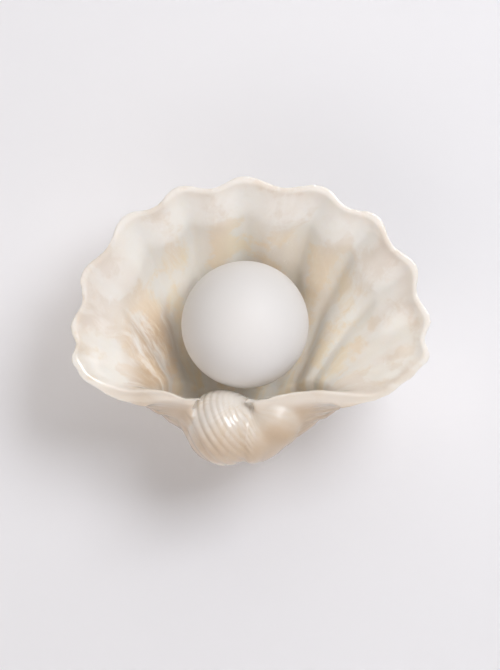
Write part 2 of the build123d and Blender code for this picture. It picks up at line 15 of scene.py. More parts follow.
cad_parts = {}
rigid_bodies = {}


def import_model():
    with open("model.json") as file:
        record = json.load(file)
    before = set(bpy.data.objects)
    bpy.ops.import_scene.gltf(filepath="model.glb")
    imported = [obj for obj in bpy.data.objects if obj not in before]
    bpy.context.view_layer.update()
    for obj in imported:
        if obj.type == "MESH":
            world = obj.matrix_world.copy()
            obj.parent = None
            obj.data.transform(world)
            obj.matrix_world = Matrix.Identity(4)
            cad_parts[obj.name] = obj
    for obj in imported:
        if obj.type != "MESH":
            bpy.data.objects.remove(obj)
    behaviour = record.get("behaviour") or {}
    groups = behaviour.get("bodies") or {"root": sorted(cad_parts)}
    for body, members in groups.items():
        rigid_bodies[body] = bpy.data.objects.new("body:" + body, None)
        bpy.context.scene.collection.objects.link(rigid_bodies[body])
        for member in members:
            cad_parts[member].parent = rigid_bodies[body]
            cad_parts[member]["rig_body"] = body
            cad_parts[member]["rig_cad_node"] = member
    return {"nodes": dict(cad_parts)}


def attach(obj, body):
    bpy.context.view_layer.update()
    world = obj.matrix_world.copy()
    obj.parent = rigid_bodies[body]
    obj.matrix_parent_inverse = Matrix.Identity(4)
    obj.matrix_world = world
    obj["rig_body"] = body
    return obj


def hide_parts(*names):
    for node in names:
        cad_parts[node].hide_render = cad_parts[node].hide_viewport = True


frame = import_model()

logging.basicConfig(level=logging.INFO, format="%(message)s")
LOG = logging.getLogger("sconce")

MM = 0.001
PHOTO_WIDTH_PX = 500
PHOTO_HEIGHT_PX = 670
MM_PER_PX = 0.9375
GLOBE_CENTRE_PX = (245.0, 324.5)
# Marks that the stone's finish reads; the ones for the undersides and for the front place painted shade.
CARVED_MARKS = ("bearing", "reach", "crest", "grooved", "knob_rib", "on_knob", "under", "front", "cheek")

Span = tuple[float, float]
Triple = tuple[float, float, float]


# ---- small helpers

def linear(hex_colour: str) -> tuple[float, float, float, float]:
    """Turn an sRGB colour into the linear colour that shaders take.

    Args:
        hex_colour: six hex digits, with or without a leading #.

    Returns:
        Linear red, green, blue and an alpha of 1.
    """
    digits = hex_colour.lstrip("#")
    parts = [int(digits[i:i + 2], 16) / 255.0 for i in (0, 2, 4)]
    curve = [c / 12.92 if c <= 0.04045 else ((c + 0.055) / 1.055) ** 2.4 for c in parts]
    return curve[0], curve[1], curve[2], 1.0


def per_mm(size_mm: float) -> float:
    """Return the texture scale whose pattern repeats about every size_mm millimetres."""
    return 1000.0 / size_mm


def set_up(tree: NodeTree, node: Node, values: dict | None = None, links: dict | None = None) -> None:
    """Set a node's socket values and incoming links.

    Args:
        tree: the node tree that holds the node.
        node: the node.
        values: socket names or numbers and the constants they get.
        links: socket names or numbers and what feeds them: an output, or a node for its first output.
    """
    for key, value in (values or {}).items():
        node.inputs[key].default_value = value
    for key, source in (links or {}).items():
        if isinstance(source, Node):
            source = next(output for output in source.outputs if output.enabled)
        tree.links.new(source, node.inputs[key])


def add_node(
    tree: NodeTree, kind: str, values: dict | None = None, links: dict | None = None, **settings: object
) -> Node:
    """Add one shader node with its settings, socket values and incoming links.

    Args:
        tree: the node tree that takes the node.
        kind: the node's type name after ShaderNode, such as Bump.
        values: the same as for set_up.
        links: the same as for set_up.
        settings: attributes of the node itself.

    Returns:
        The new node.
    """
    node = tree.nodes.new("ShaderNode" + kind)
    for key, value in settings.items():
        setattr(node, key, value)
    set_up(tree, node, values, links)
    return node


def deselect() -> None:
    """Deselect every object, so that the next operator acts on nothing old."""
    for thing in bpy.context.view_layer.objects:
        thing.select_set(False)


def make_active(thing: Object) -> None:
    """Select one object alone and make it the active one.

    Args:
        thing: the object.
    """
    deselect()
    thing.select_set(True)
    bpy.context.view_layer.objects.active = thing


def pick_edges(thing: Object, chosen: Callable[[Vector], bool]) -> None:
    """Select, in edit mode, only the edges whose two ends are chosen.

    Args:
        thing: the object in edit mode.
        chosen: tells of a vertex's place whether it counts.
    """
    bpy.ops.mesh.select_all(action="DESELECT")
    bpy.ops.object.mode_set(mode="OBJECT")
    points = thing.data.vertices
    for edge in thing.data.edges:
        edge.select = all(chosen(points[i].co) for i in edge.vertices)
    bpy.ops.object.mode_set(mode="EDIT")


def copy_of_node(node: str, name: str) -> Object:
    """Duplicate a CAD node as a free object with its doubles merged.

    Args:
        node: the CAD node's name.
        name: the name of the copy.

    Returns:
        The copy, at the origin and with no parent.
    """
    make_active(frame["nodes"][node])
    bpy.ops.object.duplicate()
    copy = bpy.context.view_layer.objects.active
    copy.name = copy.data.name = name
    copy.parent = None
    copy.matrix_world = Matrix.Identity(4)
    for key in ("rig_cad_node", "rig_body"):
        if key in copy:
            del copy[key]
    bpy.ops.object.mode_set(mode="EDIT")
    bpy.ops.mesh.select_all(action="SELECT")
    bpy.ops.mesh.remove_doubles(threshold=0.01 * MM)
    bpy.ops.mesh.customdata_custom_splitnormals_clear()
    bpy.ops.object.mode_set(mode="OBJECT")
    return copy


def apply_modifier(thing: Object, kind: str, **settings: object) -> None:
    """Add one modifier to an object and apply it at once.

    Args:
        thing: the object that is changed.
        kind: the modifier's type, such as REMESH.
        settings: attributes of the modifier.
    """
    make_active(thing)
    modifier = thing.modifiers.new(kind.title(), kind)
    for key, value in settings.items():
        setattr(modifier, key, value)
    bpy.ops.object.modifier_apply(modifier=modifier.name)


def shade_smooth(thing: Object, angle_deg: float) -> None:
    """Shade an object smooth across edges flatter than an angle."""
    make_active(thing)
    bpy.ops.object.shade_smooth_by_angle(angle=math.radians(angle_deg))


def ramp(x: float, low: float, high: float) -> float:
    """Rise smoothly from 0 at low to 1 at high."""
    share = min(1.0, max(0.0, (x - low) / (high - low)))
    return share * share * (3.0 - 2.0 * share)


def window(x: float, rise: Span, fade: Span) -> float:
    """Rise from 0 to 1 over one span and fall back to 0 over another."""
    return ramp(x, *rise) * (1.0 - ramp(x, *fade))


# ---- finishes

class Grain(Enum):
    """How a metal's surface was worked, which sets the direction of its fine lines."""

    SPUN = "spun"
    PLATED = "plated"
    TURNED = "turned"
    ROLLED = "rolled"


@dataclass(frozen=True)
class Finish:
    """A finish whose material is made once and shared by its pieces."""

    name: str

    def build(self) -> Material:
        """Make the material, or return it if it was made before.

        Returns:
            The finished material.
        """
        made = bpy.data.materials.get(self.name)
        if made is not None:
            return made
        made = bpy.data.materials.new(self.name)
        made.use_nodes = True
        tree = made.node_tree
        tree.nodes.clear()
        shader = add_node(tree, "BsdfPrincipled")
        add_node(tree, "OutputMaterial", links={"Surface": shader})
        place = add_node(tree, "TexCoord").outputs["Object"]
        self.dress(tree, shader, place)
        return made

    def dress(self, tree: NodeTree, shader: Node, place: NodeSocket) -> None:
        """Set the shader's sockets; each finish has its own way.

        Args:
            tree: the material's node tree.
            shader: the main shader, which is set up.
            place: the object coordinates, in metres.
        """
        raise NotImplementedError


def let_through(tree: NodeTree, shader: Node, share: float, tint: str) -> None:
    """Let a share of the light through a finish's body.

    Args:
        tree: the material's node tree.
        shader: the finish's main shader.
        share: how much of the light passes, from 0 to 1.
        tint: the colour that it takes on inside.
    """
    through = add_node(tree, "BsdfTranslucent", {"Color": linear(tint)})
    body = add_node(tree, "MixShader", {0: share}, {1: shader, 2: through})
    output = next(node for node in tree.nodes if node.type == "OUTPUT_MATERIAL")
    set_up(tree, output, links={"Surface": body})


@dataclass(frozen=True)
class CarvedAlabaster(Finish):
    """Alabaster, carved and then wet polished.

    A translucent, fine-grained stone: light sinks a few millimetres in and comes out warm. White
    clouds drift over it, pushed whiter on the crests of the ribs as painted highlight, with painted
    grey shade in the dips near the rim and on the rim's front edge. Honey patches and thin white veins
    cross it, and the polish leaves small open pits. Painted brown shade darkens the undersides and,
    with the stone's own streaks, the hollow left of and below the globe; a dull beige is painted as
    shade on the front of the lips and knob, and a warm painted glow lightens the deep bowl.
    """

    cream: str = "#F0E8DE"
    white: str = "#FAF6F0"
    honey: str = "#EAD8BA"
    # Brown of painted shade on the undersides; in the hollow beside the globe also the stone's own streaks.
    shade_brown: str = "#C8AA84"
    # Grey of painted shade, in the rib dips near the rim and on the rim's front edge.
    shade_grey: str = "#D3C7BA"
    # Dull beige painted as shade on the front of the lips and knob.
    dull: str = "#E0D6C9"
    # Warm white: the tint of light that passes through the stone, and the painted glow that lightens the deep
    # bowl.
    glow: str = "#FFF0DA"
    passed: float = 0.05
    ior: float = 1.53
    sunk_weight: float = 0.65
    sunk_mm: float = 6.0
    sunk_radius: Triple = (1.0, 0.92, 0.82)
    polish_roughness: float = 0.06
    drift_mm: float = 80.0
    drift_reach: float = 0.04
    streak_wander: float = 3.0
    # How much whiter the rib crests are painted, as painted highlight on top of the clouds.
    crest_painted_light: float = 0.12
    cloud_mm: float = 34.0
    streak_degrees: float = 9.0
    streak_mm: float = 60.0
    patch_mm: float = 60.0
    vein_mm: float = 20.0
    mottle_mm: float = 6.0
    ripple_mm: float = 12.0
    pit_mm: float = 2.6
    groove_degrees: float = 4.2

    def dress(self, tree: NodeTree, shader: Node, place: NodeSocket) -> None:
        """Set clouds, streaks, depth colour, veins, pits, carving and translucency.

        Args:
            tree: the material's node tree.
            shader: the main shader, which is set up.
            place: the object coordinates, in metres.
        """
        mark = {name: add_node(tree, "Attribute", attribute_name=name).outputs["Fac"]
                for name in CARVED_MARKS}
        drift = add_node(tree, "TexNoise", {"Scale": per_mm(self.drift_mm), "Detail": 2.0},
                         {"Vector": place})
        centred = add_node(tree, "VectorMath", {1: (0.5, 0.5, 0.5)}, {0: drift.outputs["Color"]},
                           operation="SUBTRACT")
        flow = add_node(tree, "VectorMath", {1: (self.drift_reach,) * 3}, {0: centred, 2: place},
                        operation="MULTIPLY_ADD")
        turned = add_node(tree, "Math", {1: self.streak_degrees}, {0: mark["bearing"]}, operation="DIVIDE")
        along = add_node(tree, "Math", {1: self.streak_mm}, {0: mark["reach"]}, operation="DIVIDE")
        wander = add_node(tree, "Math", {1: self.streak_wander}, {0: drift, 2: turned},
                          operation="MULTIPLY_ADD")
        fan = add_node(tree, "CombineXYZ", links={0: wander, 1: along})
        spot = add_node(tree, "SeparateXYZ", links={0: flow}).outputs

        # Each pattern: its name, its place, its scale, its detail and its roughness.
        pattern = {}
        for name, vector, scale, detail, roughness in (
            ("clouds", flow, per_mm(self.cloud_mm), 8.0, 0.62),
            ("streaks", fan, 1.0, 8.0, 0.66),
            ("patches", flow, per_mm(self.patch_mm), 5.0, 0.55),
            ("veins", flow, per_mm(self.vein_mm), 3.0, 0.5),
            ("mottle", place, per_mm(self.mottle_mm), 5.0, 0.7),
            ("ripple", place, per_mm(self.ripple_mm), 3.0, 0.5),
            ("holes", place, per_mm(self.pit_mm), 3.0, 0.6),
        ):
            kind = "RIDGED_MULTIFRACTAL" if name == "veins" else "FBM"
            pattern[name] = add_node(
                tree, "TexNoise", {"Scale": scale, "Detail": detail, "Roughness": roughness},
                {"Vector": vector}, noise_type=kind, normalize=kind == "FBM")
        # The stone's clouds, pushed whiter on the rib crests as painted highlight.
        clouds_and_crest_light = add_node(tree, "Math", {1: self.crest_painted_light}, {0: mark["crest"], 2: pattern["clouds"]},
                       operation="MULTIPLY_ADD")

        # Each share: what it reads, the two readings it runs between, and its value at each of them.
        share = {}
        for name, source, low, high, start, end in (
            ("white", clouds_and_crest_light, 0.49, 0.6, 0.0, 0.85),
            ("honey", pattern["patches"], 0.46, 0.62, 0.0, 0.45),
            ("streaked", pattern["streaks"], 0.62, 0.38, 0.05, 0.48),
            ("stripe", pattern["streaks"], 0.5, 0.64, 0.0, 0.7),
            # Painted shade in the rib dips, strongest midway between two crests.
            ("dip", mark["crest"], 0.7, 0.1, 0.0, 0.55),
            ("outer", mark["reach"], 105.0, 160.0, 0.0, 0.75),
            ("sunk", spot["Y"], -0.12, -0.065, 0.0, 1.0),
            # The next four shares place brown beside and below the globe: partly the stone's streaks, partly
            # painted shade in that hollow.
            ("left", spot["X"], -0.052, -0.075, 0.15, 1.0),
            ("beside", spot["X"], -0.122, -0.094, 0.0, 1.0),
            ("shown", spot["X"], -0.064, -0.08, 0.1, 0.8),
            # Painted shade that greys the rim's front edge.
            ("rim_shade", spot["Y"], -0.122, -0.136, 0.0, 0.2),
            ("near", mark["reach"], 175.0, 120.0, 0.2, 1.0),
            ("right", spot["X"], -0.02, 0.05, 0.0, 0.7),
            ("low", spot["Z"], 0.04, -0.01, 0.0, 1.0),
            ("banded", pattern["streaks"], 0.6, 0.42, 0.3, 1.0),
            ("vein", pattern["veins"], 0.62, 0.8, 0.0, 0.5),
            ("dulled", pattern["mottle"], 0.45, 0.75, 0.0, 0.2),
            # Painted shade on surfaces that face down below the lips.
            ("under", mark["under"], 0.0, 1.0, 0.0, 0.65),
            # Painted shade on the front of the lips and knob, less on the knob's ribs.
            ("front", mark["front"], 0.0, 1.0, 0.0, 0.7),
            # Painted glow: a warm near-white over the deep bowl, standing for light carried through the
            # stone.
            ("painted_glow", spot["Y"], -0.12, -0.08, 0.0, 0.95),
            ("gloss", pattern["mottle"], 0.3, 0.7, 0.28, 0.46),
            ("polish", mark["cheek"], 0.0, 1.0, 1.0, 0.1),
            ("pits", pattern["holes"], 0.42, 0.3, 0.0, 1.0),
        ):
            share[name] = add_node(
                tree, "MapRange", {"From Min": low, "From Max": high, "To Min": start, "To Max": end},
                {"Value": source}, interpolation_type="SMOOTHSTEP")
        for name, first, second in (
            ("golden", "right", "sunk"), ("golden", "golden", "streaked"),
            # Brown in the hollow left of and below the globe, streaked: partly stone tone, partly painted
            # shade.
            ("hollow_streaks_and_shade", "left", "low"), ("hollow_streaks_and_shade", "hollow_streaks_and_shade", "beside"), ("hollow_streaks_and_shade", "hollow_streaks_and_shade", "banded"),
            ("hollow_streaks_and_shade", "hollow_streaks_and_shade", "shown"),
            ("honey", "honey", "near"),
            # Painted grey shade in the dips near the rim, in streaks.
            ("dip_shade", "dip", "outer"), ("dip_shade", "dip_shade", "streaked"),
            ("vein", "vein", "right"), ("pits", "pits", "right"), ("pits", "pits", "sunk"),
        ):
            share[name] = add_node(tree, "Math", links={0: share[first], 1: share[second]},
                                   operation="MULTIPLY")

        # Later tints lie over earlier ones. The glow, dip, rim, hollow, front and underside tints are painted
        # light and shade; the hollow's is partly the stone's own streaks.
        colour = None
        for tint, name in (
            (self.glow, "painted_glow"), (self.honey, "honey"), (self.white, "white"), (self.honey, "golden"),
            (self.shade_grey, "dip_shade"), (self.shade_brown, "hollow_streaks_and_shade"), (self.white, "stripe"), (self.white, "vein"),
            (self.cream, "dulled"), (self.dull, "front"), (self.shade_grey, "rim_shade"), (self.shade_brown, "under"),
        ):
            values = {"B": linear(tint)} if colour else {"A": linear(self.cream), "B": linear(tint)}
            below = {"A": colour} if colour else {}
            colour = add_node(tree, "Mix", values, {"Factor": share[name], **below}, data_type="RGBA")

        part = add_node(tree, "Math", links={0: mark["knob_rib"]}, operation="FRACT")
        side = add_node(tree, "Math", {1: 2.0, 2: -1.0}, {0: part}, operation="MULTIPLY_ADD")
        square = add_node(tree, "Math", links={0: side, 1: side}, operation="MULTIPLY")
        rounded = add_node(tree, "Math", {1: -1.0}, {0: square}, operation="MULTIPLY")
        ribs = add_node(tree, "Math", links={0: rounded, 1: mark["on_knob"]}, operation="MULTIPLY")
        turn = add_node(tree, "Math", {1: math.tau / self.groove_degrees}, {0: mark["bearing"]},
                        operation="MULTIPLY")
        wave = add_node(tree, "Math", links={0: turn}, operation="SINE")
        grooves = add_node(tree, "Math", links={0: wave, 1: mark["grooved"]}, operation="MULTIPLY")
        # Each relief: its height, its strength and its depth in millimetres.
        relief = None
        for height, strength, depth in (
            (ribs, 1.0, 0.25), (grooves, 1.0, 0.4), (pattern["ripple"], 0.4, 0.9),
            (share["pits"], 0.6, -0.35),
        ):
            below = {"Normal": relief} if relief else {}
            relief = add_node(tree, "Bump", {"Strength": strength, "Distance": depth * MM},
                              {"Height": height, **below})
        set_up(tree, shader, {
            "Subsurface Weight": self.sunk_weight, "Subsurface Scale": self.sunk_mm * MM,
            "Subsurface Radius": self.sunk_radius, "IOR": self.ior,
            "Coat Roughness": self.polish_roughness,
        }, {"Base Color": colour, "Roughness": share["gloss"], "Normal": relief,
            "Coat Weight": share["polish"]})
        let_through(tree, shader, self.passed, self.glow)


@dataclass(frozen=True)
class EtchedOpalGlass(Finish):
    """Blown opal glass, acid etched: milk white, with a soft wide sheen and light that carries round it."""

    white: str = "#F6F4F2"
    glow: str = "#FBF7F1"
    passed: float = 0.18
    ior: float = 1.5
    # Real etching is a few hundredths of a millimetre fine; it is drawn coarser so that a render can show it.
    etch_mm: float = 0.9
    etch_depth_mm: float = 0.05
    cloud_mm: float = 55.0

    def dress(self, tree: NodeTree, shader: Node, place: NodeSocket) -> None:
        """Set the milk white body, the light it lets through and the etched skin.

        Args:
            tree: the material's node tree.
            shader: the main shader, which is set up.
            place: the object coordinates, in metres.
        """
        etch = add_node(tree, "TexNoise", {"Scale": per_mm(self.etch_mm), "Detail": 2.0}, {"Vector": place})
        skin = add_node(tree, "Bump", {"Strength": 0.12, "Distance": self.etch_depth_mm * MM},
                        {"Height": etch})
        cloud = add_node(tree, "TexNoise", {"Scale": per_mm(self.cloud_mm), "Detail": 2.0}, {"Vector": place})
        gloss = add_node(tree, "MapRange", {"To Min": 0.48, "To Max": 0.6}, {"Value": cloud})
        set_up(tree, shader, {"Base Color": linear(self.white), "IOR": self.ior},
               {"Roughness": gloss, "Normal": skin})
        let_through(tree, shader, self.passed, self.glow)


@dataclass(frozen=True)
class WorkedMetal(Finish):
    """A bare or plated metal, with the fine lines or spangle that its making leaves."""

    colour: str = "#C8C8C6"
    shade: str = "#A9A9A8"
    grain: Grain = Grain.PLATED
    roughness: float = 0.32
    # Spinning and turning lines and zinc spangle are finer than this; they are drawn coarser to show at all.
    spun_pitch_mm: float = 0.35
    turned_pitch_mm: float = 1.0
    spangle_mm: float = 1.2
    rolled_stretch: float = 0.06
    cloud_mm: float = 11.0
    line_depth_mm: float = 0.03
    # How much duller and how much brighter the worn and the clean places are.
    wear: Span = (0.12, 0.06)

    def dress(self, tree: NodeTree, shader: Node, place: NodeSocket) -> None:
        """Set the metal's colour, its lines and its wear.

        Args:
            tree: the material's node tree.
            shader: the main shader, which is set up.
            place: the object coordinates, in metres.
        """
        if self.grain in (Grain.SPUN, Grain.TURNED):
            pitch = self.spun_pitch_mm if self.grain is Grain.SPUN else self.turned_pitch_mm
            lines = add_node(tree, "TexWave", {"Scale": per_mm(pitch) / math.tau, "Distortion": 0.0},
                             {"Vector": place}, wave_type="BANDS", bands_direction="Y")
        else:
            stretch = (1.0, 1.0, self.rolled_stretch if self.grain is Grain.ROLLED else 1.0)
            turned = add_node(tree, "Mapping", {"Scale": stretch}, {"Vector": place})
            lines = add_node(tree, "TexNoise", {"Scale": per_mm(self.spangle_mm), "Detail": 4.0},
                             {"Vector": turned})
        cloud = add_node(tree, "TexNoise", {"Scale": per_mm(self.cloud_mm), "Detail": 5.0}, {"Vector": place})
        mix = add_node(tree, "Mix", {"A": linear(self.shade), "B": linear(self.colour)}, {"Factor": cloud},
                       data_type="RGBA")
        dull = add_node(tree, "MapRange", {"To Min": self.roughness + self.wear[0],
                                           "To Max": self.roughness - self.wear[1]}, {"Value": cloud})
        relief = add_node(tree, "Bump", {"Strength": 0.3, "Distance": self.line_depth_mm * MM},
                          {"Height": lines.outputs["Fac"]})
        set_up(tree, shader, {"Metallic": 1.0}, {"Base Color": mix, "Roughness": dull, "Normal": relief})


@dataclass(frozen=True)
class MouldedSkin(Finish):
    """A plastic, rubber, paint or fired body: one colour with a fine skin, faint clouds and soft gloss."""

    colour: str = "#E8E6E0"
    shade: str = "#DAD7CF"
    roughness: float = 0.45
    skin_mm: float = 0.8
    skin_depth_mm: float = 0.03
    translucency: float = 0.0
    coat: float = 0.0
    cloud_mm: float = 14.0
    sunk_mm: float = 1.5
    coat_roughness: float = 0.15
    # How much glossier and how much duller than its roughness the skin is in places.
    wear: Span = (0.05, 0.07)

    def dress(self, tree: NodeTree, shader: Node, place: NodeSocket) -> None:
        """Set the colour, its clouds and the skin.

        Args:
            tree: the material's node tree.
            shader: the main shader, which is set up.
            place: the object coordinates, in metres.
        """
        cloud = add_node(tree, "TexNoise", {"Scale": per_mm(self.cloud_mm), "Detail": 4.0}, {"Vector": place})
        mix = add_node(tree, "Mix", {"A": linear(self.shade), "B": linear(self.colour)}, {"Factor": cloud},
                       data_type="RGBA")
        skin = add_node(tree, "TexNoise", {"Scale": per_mm(self.skin_mm), "Detail": 2.0}, {"Vector": place})
        relief = add_node(tree, "Bump", {"Strength": 0.5, "Distance": self.skin_depth_mm * MM},
                          {"Height": skin})
        gloss = add_node(tree, "MapRange", {"To Min": self.roughness - self.wear[0],
                                            "To Max": self.roughness + self.wear[1]}, {"Value": cloud})
        set_up(tree, shader, {
            "Subsurface Weight": self.translucency, "Subsurface Scale": self.sunk_mm * MM,
            "Coat Weight": self.coat, "Coat Roughness": self.coat_roughness,
        }, {"Base Color": mix, "Roughness": gloss, "Normal": relief})


@dataclass(frozen=True)
class PressedFelt(Finish):
    """Pressed wool felt: matted fibres with a soft sheen at the edge."""

    colour: str = "#D3D0C8"
    shade: str = "#B9B5AA"
    # Wool fibres are about 0.03 mm thick; they are drawn coarser so that the matting shows.
    fibre_mm: float = 1.4
    nap_mm: float = 0.25

    def dress(self, tree: NodeTree, shader: Node, place: NodeSocket) -> None:
        """Set the fibres and the sheen.

        Args:
            tree: the material's node tree.
            shader: the main shader, which is set up.
            place: the object coordinates, in metres.
        """
        fibres = add_node(tree, "TexNoise", {"Scale": per_mm(self.fibre_mm), "Detail": 8.0,
                                             "Roughness": 0.75, "Distortion": 1.5}, {"Vector": place})
        mix = add_node(tree, "Mix", {"A": linear(self.shade), "B": linear(self.colour)}, {"Factor": fibres},
                       data_type="RGBA")
        relief = add_node(tree, "Bump", {"Strength": 0.8, "Distance": self.nap_mm * MM}, {"Height": fibres})
        set_up(tree, shader, {"Roughness": 0.95, "Sheen Weight": 0.4, "Sheen Roughness": 0.5},
               {"Base Color": mix, "Normal": relief})


@dataclass(frozen=True)
class StripedInsulation(Finish):
    """Extruded lead insulation in green with a yellow stripe along it."""

    green: str = "#3F8A36"
    yellow: str = "#E3C72E"
    stripe_mm: float = 4.4

    def dress(self, tree: NodeTree, shader: Node, place: NodeSocket) -> None:
        """Set the stripe by depth off the wall, which runs along the lead's upper run.

        Args:
            tree: the material's node tree.
            shader: the main shader, which is set up.
            place: the object coordinates, in metres.
        """
        band = add_node(tree, "TexWave", {"Scale": per_mm(self.stripe_mm) / math.tau}, {"Vector": place},
                        wave_type="BANDS", bands_direction="Y")
        edge = add_node(tree, "MapRange", {"From Min": 0.45, "From Max": 0.55},
                        {"Value": band.outputs["Fac"]})
        mix = add_node(tree, "Mix", {"A": linear(self.green), "B": linear(self.yellow)}, {"Factor": edge},
                       data_type="RGBA")
        set_up(tree, shader, {"Roughness": 0.42, "Coat Weight": 0.1}, {"Base Color": mix})


# Milky, cloudy stone with light in it and wet gloss on knob and rim.
ALABASTER = CarvedAlabaster("alabaster, carved and wet polished")
# Even milk white with a wide dull sheen and no mirror spot.
OPAL = EtchedOpalGlass("opal glass, blown and acid etched")
# Pale grey, faintly clear, soft gloss.
SILICONE = MouldedSkin("silicone rubber, moulded", "#DADAD6", "#CFCFCB", 0.5, 1.5, 0.02, 0.3)
# Warm white that glows a little, with no gloss.
FROSTED = MouldedSkin("polycarbonate cover, moulded and frosted", "#F0EEE8", "#E8E5DC", 0.6, 0.6, 0.02, 0.4)
# White plastic with a clear soft highlight.
BULB_BODY = MouldedSkin("polybutylene, moulded", "#EEEDE8", "#E6E4DD", 0.35, 1.1, 0.02, 0.05)
# Bright warm grey with sharp highlights.
NICKEL_PIN = WorkedMetal("nickel plated wire", "#D2D0CC", "#B4B2AE", Grain.PLATED, 0.25)
# Warm grey with fine rings that stretch the highlight.
SPUN_NICKEL = WorkedMetal("steel cup, spun and nickel plated", "#CFCBC3", "#B7B3AB", Grain.SPUN, 0.33)
# Cool grey with faint lengthwise rolling lines.
ZINC_STRAP = WorkedMetal("sheet steel, pressed and zinc plated", "#C4C7C9", "#9DA2A6", Grain.ROLLED, 0.38)
# Cool bright grey with fine rings round the axis.
ZINC_SCREW = WorkedMetal("steel, thread rolled and zinc plated", "#C9CCCE", "#A6AAAD", Grain.TURNED, 0.3)
# Yellow metal, a little cloudy.
BRASS = WorkedMetal("brass, turned", "#D9B968", "#B8923F", Grain.PLATED, 0.28)
# Ivory ceramic with a thin glaze-like gloss.
STEATITE = MouldedSkin("steatite, pressed and fired", "#EDEAE2", "#DDD8CC", 0.3, 0.5, 0.03, 0.1, 0.35)
# Matted grey fibres with a soft edge.
FELT = PressedFelt("wool felt, pressed")
# Matt black.
RUBBER = MouldedSkin("nitrile rubber, moulded", "#2A2A2A", "#1F1F1F", 0.65, 0.9, 0.04)
# Off-white paint with a fine dry skin.
PAINT = MouldedSkin("steel, spun and powder coated", "#EAE8E4", "#E2E0DB", 0.5, 0.7, 0.05)
# Dark grey, dull and pebbled by its cells.
FOAM = MouldedSkin("polyethylene foam, closed cell", "#4A4A4A", "#383838", 0.9, 0.9, 0.25)
# Creamy white plastic, faintly clear.
POLYAMIDE = MouldedSkin("polyamide, moulded", "#E6E4DB", "#DBD8CC", 0.5, 0.8, 0.03, 0.15)
# Extruded insulation: smooth, with a soft lengthwise highlight.
BROWN_LEAD = MouldedSkin("silicone insulation, brown", "#6B4026", "#5A341E", 0.45, 1.2, 0.02)
BLUE_LEAD = MouldedSkin("silicone insulation, blue", "#2F57A6", "#274A90", 0.45, 1.2, 0.02)
EARTH_LEAD = StripedInsulation("insulation, green and yellow")


# ---- sub-assemblies

@dataclass
class SubAssembly:
    """Pieces that belong together and ride on one body."""

    body: str = "fixture"
    finishes: dict[str, Finish] = field(default_factory=dict)

    def dress_nodes(self) -> None:
        """Give each CAD node of this sub-assembly its finish."""
        for node, finish in self.finishes.items():
            thing = frame["nodes"][node]
            for place in thing.material_slots:
                place.material = finish.build()
            LOG.info("%s: %s", node, finish.name)

    def build(self) -> None:
        """Dress the pieces."""
        self.dress_nodes()


@dataclass(frozen=True)
class Zone:
    """A soft-edged box, in millimetres, in which a shaping step works."""

    low: Triple
    high: Triple
    edge: float = 6.0

    def share(self, place: Vector) -> float:
        """Tell how far a place lies inside the zone.

        Args:
            place: the place, in metres.

        Returns:
            1 well inside, 0 well outside.
        """
        inside = 1.0
        for value, low, high in zip(place, self.low, self.high):
            inside *= window(value / MM, (low - self.edge, low + self.edge),
                             (high - self.edge, high + self.edge))
        return inside


def between(stations: tuple[Span, ...], x: float) -> float:
    """Read a height from a line of stations, straight between them and level beyond the ends.

    Args:
        stations: places along x and their heights, in rising order.
        x: where the height is read.

    Returns:
        The height there.
    """
    if x <= stations[0][0]:
        return stations[0][1]
    for (low, start), (high, end) in zip(stations, stations[1:]):
        if x <= high:
            return start + (end - start) * (x - low) / (high - low)
    return stations[-1][1]


@dataclass(frozen=True)
class Knob:
    """The ribbed knob: an egg about a leaning axis, with ribs that close up towards its inner pole."""

    centre: Triple = (-20.0, -106.0, -97.0)
    lean: float = 32.0
    swing: float = 24.0
    length: float = 70.0
    radius: float = 36.5
    rib_count: int = 11
    narrowing: float = 0.86
    least_left: float = 0.02

    @cached_property
    def axis(self) -> Vector:
        """The direction that the knob's axis points in."""
        lean, swing = math.radians(self.lean), math.radians(self.swing)
        return Vector((math.cos(lean) * math.cos(swing), -math.sin(swing), math.sin(lean) * math.cos(swing)))

    def from_skin(self, place: Vector) -> float:
        """Measure how far a place lies outside the egg's smooth skin.

        Args:
            place: the place, in metres.

        Returns:
            Millimetres outside, below zero inside.
        """
        offset = place / MM - Vector(self.centre)
        u = offset.dot(self.axis)
        away = (offset - self.axis * u).length
        size = math.hypot(2.0 * u / self.length, away / self.radius)
        return (size - 1.0) * self.radius

    def rib(self, place: Vector) -> float:
        """Number the rib that a place lies on.

        Args:
            place: the place, in metres.

        Returns:
            The rib's number, with the part across the rib behind the point.
        """
        pitch = self.length * (1.0 - self.narrowing) / (1.0 - self.narrowing ** self.rib_count)
        along = (place / MM - Vector(self.centre)).dot(self.axis)
        start = max(0.0, along + self.length / 2.0)
        left = max(self.least_left, 1.0 - start * (1.0 - self.narrowing) / pitch)
        return math.log(left) / math.log(self.narrowing)


